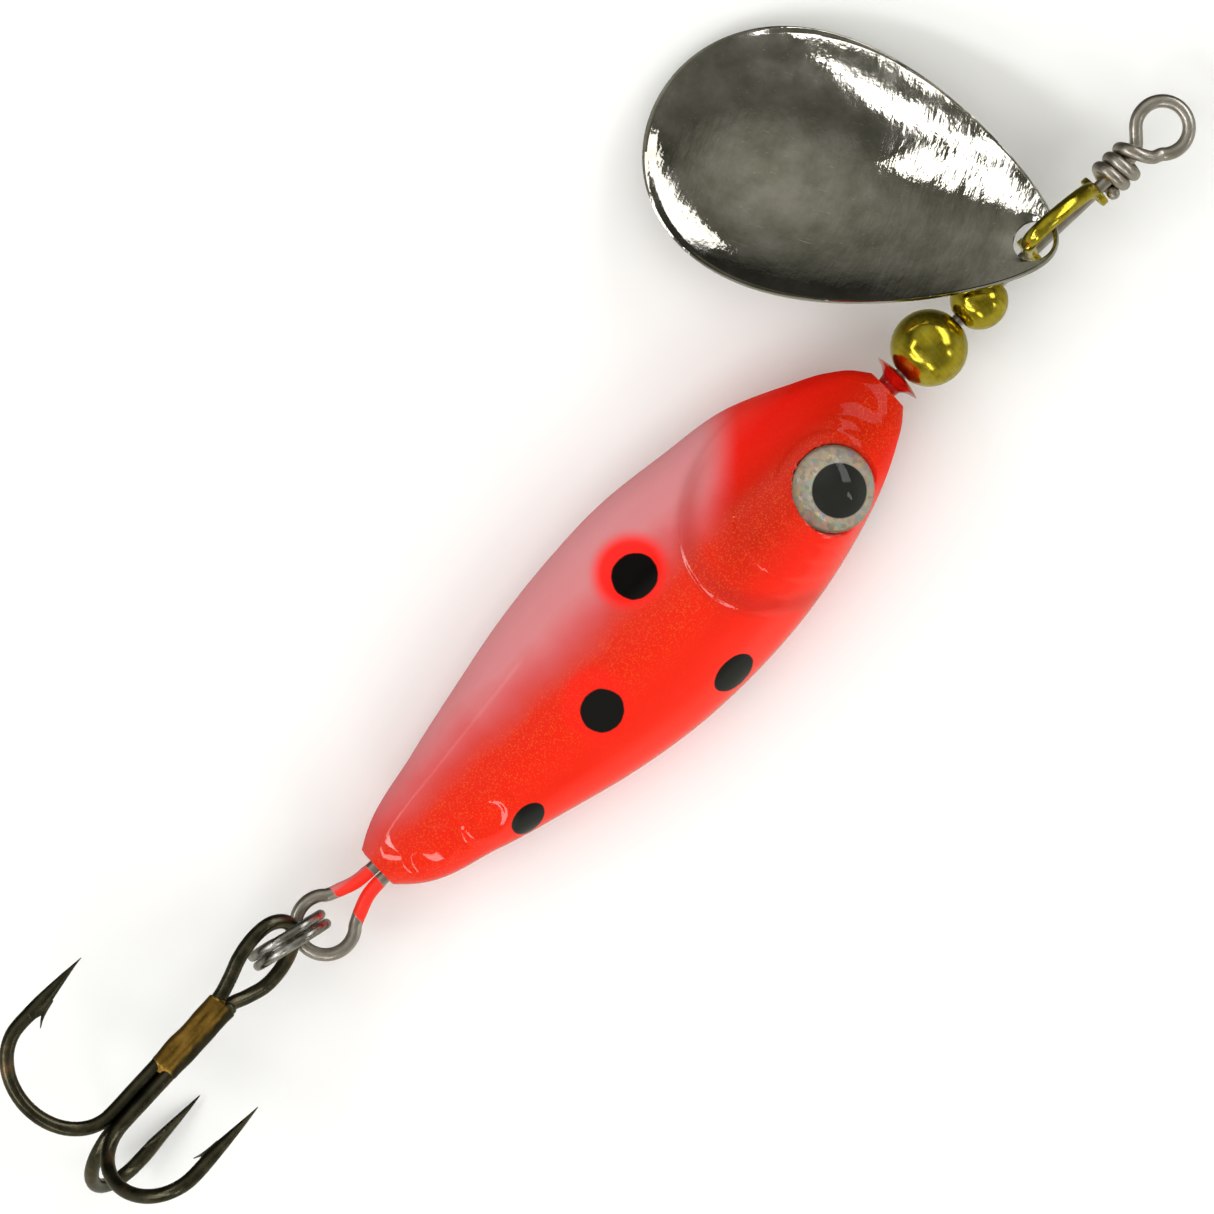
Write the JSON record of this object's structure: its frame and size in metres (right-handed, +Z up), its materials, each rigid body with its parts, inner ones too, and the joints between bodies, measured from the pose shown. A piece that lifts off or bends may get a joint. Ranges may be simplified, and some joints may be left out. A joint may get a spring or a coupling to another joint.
{
  "type": "inline spinner",
  "caption": "Fishing lure: a wire shaft with a line eye, a dished teardrop blade on a turning clevis, metal beads, a painted fish-shaped body, a split ring and a treble hook.",
  "frame": {"origin": "bottom centre of the bounding box, with the lure lying on its flank", "axes": "+X from the hook to the line eye, +Y towards the fish's back, +Z up from the flat flank"},
  "size_m": [0.079, 0.0254, 0.0135],
  "materials": {
    "steel_wire": "drawn stainless wire, satin",
    "brass": "polished greenish brass",
    "blade_plating": "bright plated sheet, faintly tarnished, mirror bowl",
    "red_plastic": "glossy dark red plastic",
    "red_paint": "fluorescent orange-red paint with gold glitter, pearl back, black spots, clear gloss coat",
    "eye_foil": "holographic silver-beige foil with a black pupil",
    "eye_resin": "clear domed resin",
    "ring_steel": "grey steel with a trace of red paint",
    "hook_bronze": "dark bronze or black nickel plating, glossy",
    "braze": "golden-brown braze, slightly lumpy"
  },
  "bodies": {
    "shaft": {"shaft_wire": "steel_wire"},
    "clevis": {"clevis": "brass"},
    "blade": {"blade": "blade_plating"},
    "fish_body": {"body_casting": "red_paint", "sleeve_cup": "red_plastic", "left_eye_foil": "eye_foil", "left_eye_dome": "eye_resin", "right_eye_foil": "eye_foil", "right_eye_dome": "eye_resin"},
    "large_bead": {"large_bead": "brass"},
    "small_bead": {"small_bead": "brass"},
    "split_ring": {"split_ring": "ring_steel"},
    "treble": {"treble_double_hook": "hook_bronze", "treble_single_hook": "hook_bronze", "treble_braze": "braze"}
  },
  "joints": [
    {"name": "clevis_spin", "type": "hinge", "parent": "shaft", "child": "clevis", "pos_m": [0.03071, -0.00665, 0.0039], "axis": [1, 0, 0], "continuous": true},
    {"name": "blade_swing", "type": "hinge", "parent": "clevis", "child": "blade", "pos_m": [0.02851, -0.00665, 0.0039], "axis": [0, 0.1392, 0.9903], "range_deg": [-36, 8]},
    {"name": "body_slide", "type": "slide", "parent": "shaft", "child": "fish_body", "axis": [1, 0, 0], "range_m": [-0.001, 0.001]},
    {"name": "large_bead_spin", "type": "hinge", "parent": "fish_body", "child": "large_bead", "pos_m": [0.02136, -0.00665, 0.0039], "axis": [1, 0, 0], "continuous": true},
    {"name": "small_bead_spin", "type": "hinge", "parent": "fish_body", "child": "small_bead", "pos_m": [0.02489, -0.00665, 0.0039], "axis": [1, 0, 0], "continuous": true},
    {"name": "ring_swing", "type": "hinge", "parent": "shaft", "child": "split_ring", "pos_m": [-0.02286, -0.00625, 0.0039], "axis": [0.1994, 0.9799, 0], "range_deg": [-75, 45]},
    {"name": "treble_swing", "type": "hinge", "parent": "split_ring", "child": "treble", "pos_m": [-0.02539, -0.00575, 0.0039], "axis": [0, 0, 1], "range_deg": [-12, 42]}
  ]
}
